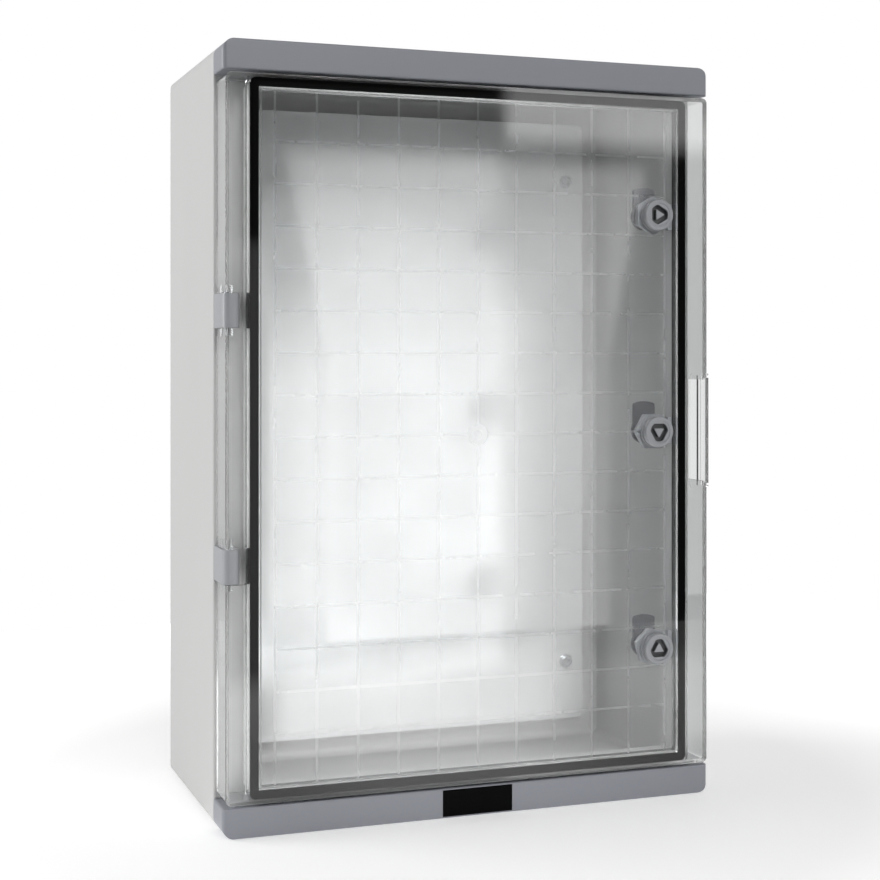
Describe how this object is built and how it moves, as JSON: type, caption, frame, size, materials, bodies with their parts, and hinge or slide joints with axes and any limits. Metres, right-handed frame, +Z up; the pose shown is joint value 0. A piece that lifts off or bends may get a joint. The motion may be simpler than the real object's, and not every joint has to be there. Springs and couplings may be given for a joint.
{
  "type": "electrical distribution box",
  "caption": "Wall-mounted moulded plastic electrical enclosure with a clear hinged door, quarter-turn locks, trim bars and a metal mounting plate inside.",
  "frame": {"origin": "middle of the bounding box's base", "axes": "+Z up; the door faces -Y; +X is to the right of someone facing the door"},
  "size_m": [0.408, 0.2294, 0.6],
  "materials": {
    "body_grey": "fine moulded texture",
    "trim_grey": "fine moulded texture",
    "hinge_grey": "satin",
    "lock_grey": "satin",
    "cam_grey": "satin",
    "clear_plastic": "clear, polished",
    "rubber": "soft",
    "nameplate_black": "glossy",
    "zinc_sheet": "zinc plated",
    "steel": "zinc plated",
    "brass": "turned"
  },
  "bodies": {
    "enclosure": {"body_shell": "body_grey", "lock_keepers": "lock_grey", "top_trim_bar": "trim_grey", "bottom_trim_bar": "trim_grey", "trim_screws": "steel", "nameplate": "nameplate_black", "mounting_plate": "zinc_sheet", "plate_inserts": "brass", "plate_washers": "steel", "plate_screws": "steel", "hinge_block_upper": "hinge_grey", "hinge_block_lower": "hinge_grey", "hinge_pin_upper": "steel", "hinge_pin_lower": "steel", "hinge_screws": "steel"},
    "door": {"door_panel": "clear_plastic", "door_gasket": "rubber", "lock_housing_upper": "lock_grey", "lock_seal_upper": "rubber", "lock_nut_upper": "lock_grey", "lock_housing_middle": "lock_grey", "lock_seal_middle": "rubber", "lock_nut_middle": "lock_grey", "lock_housing_lower": "lock_grey", "lock_seal_lower": "rubber", "lock_nut_lower": "lock_grey"},
    "lock_upper": {"lock_core_upper": "lock_grey", "lock_cam_upper": "cam_grey", "cam_screw_upper": "steel"},
    "lock_middle": {"lock_core_middle": "lock_grey", "lock_cam_middle": "cam_grey", "cam_screw_middle": "steel"},
    "lock_lower": {"lock_core_lower": "lock_grey", "lock_cam_lower": "cam_grey", "cam_screw_lower": "steel"}
  },
  "joints": [
    {"name": "door_hinge", "type": "hinge", "parent": "enclosure", "child": "door", "pos_m": [-0.1975, -0.08875, 0.3], "axis": [0, 0, -1], "range_deg": [0, 180]},
    {"name": "lock_turn_upper", "type": "hinge", "parent": "door", "child": "lock_upper", "pos_m": [0.154, -0.09825, 0.4765], "axis": [0, 1, 0], "range_deg": [0, 90]},
    {"name": "lock_turn_middle", "type": "hinge", "parent": "door", "child": "lock_middle", "pos_m": [0.154, -0.09825, 0.3], "axis": [0, 1, 0], "range_deg": [0, 90]},
    {"name": "lock_turn_lower", "type": "hinge", "parent": "door", "child": "lock_lower", "pos_m": [0.154, -0.09825, 0.1235], "axis": [0, 1, 0], "range_deg": [0, 90]}
  ]
}
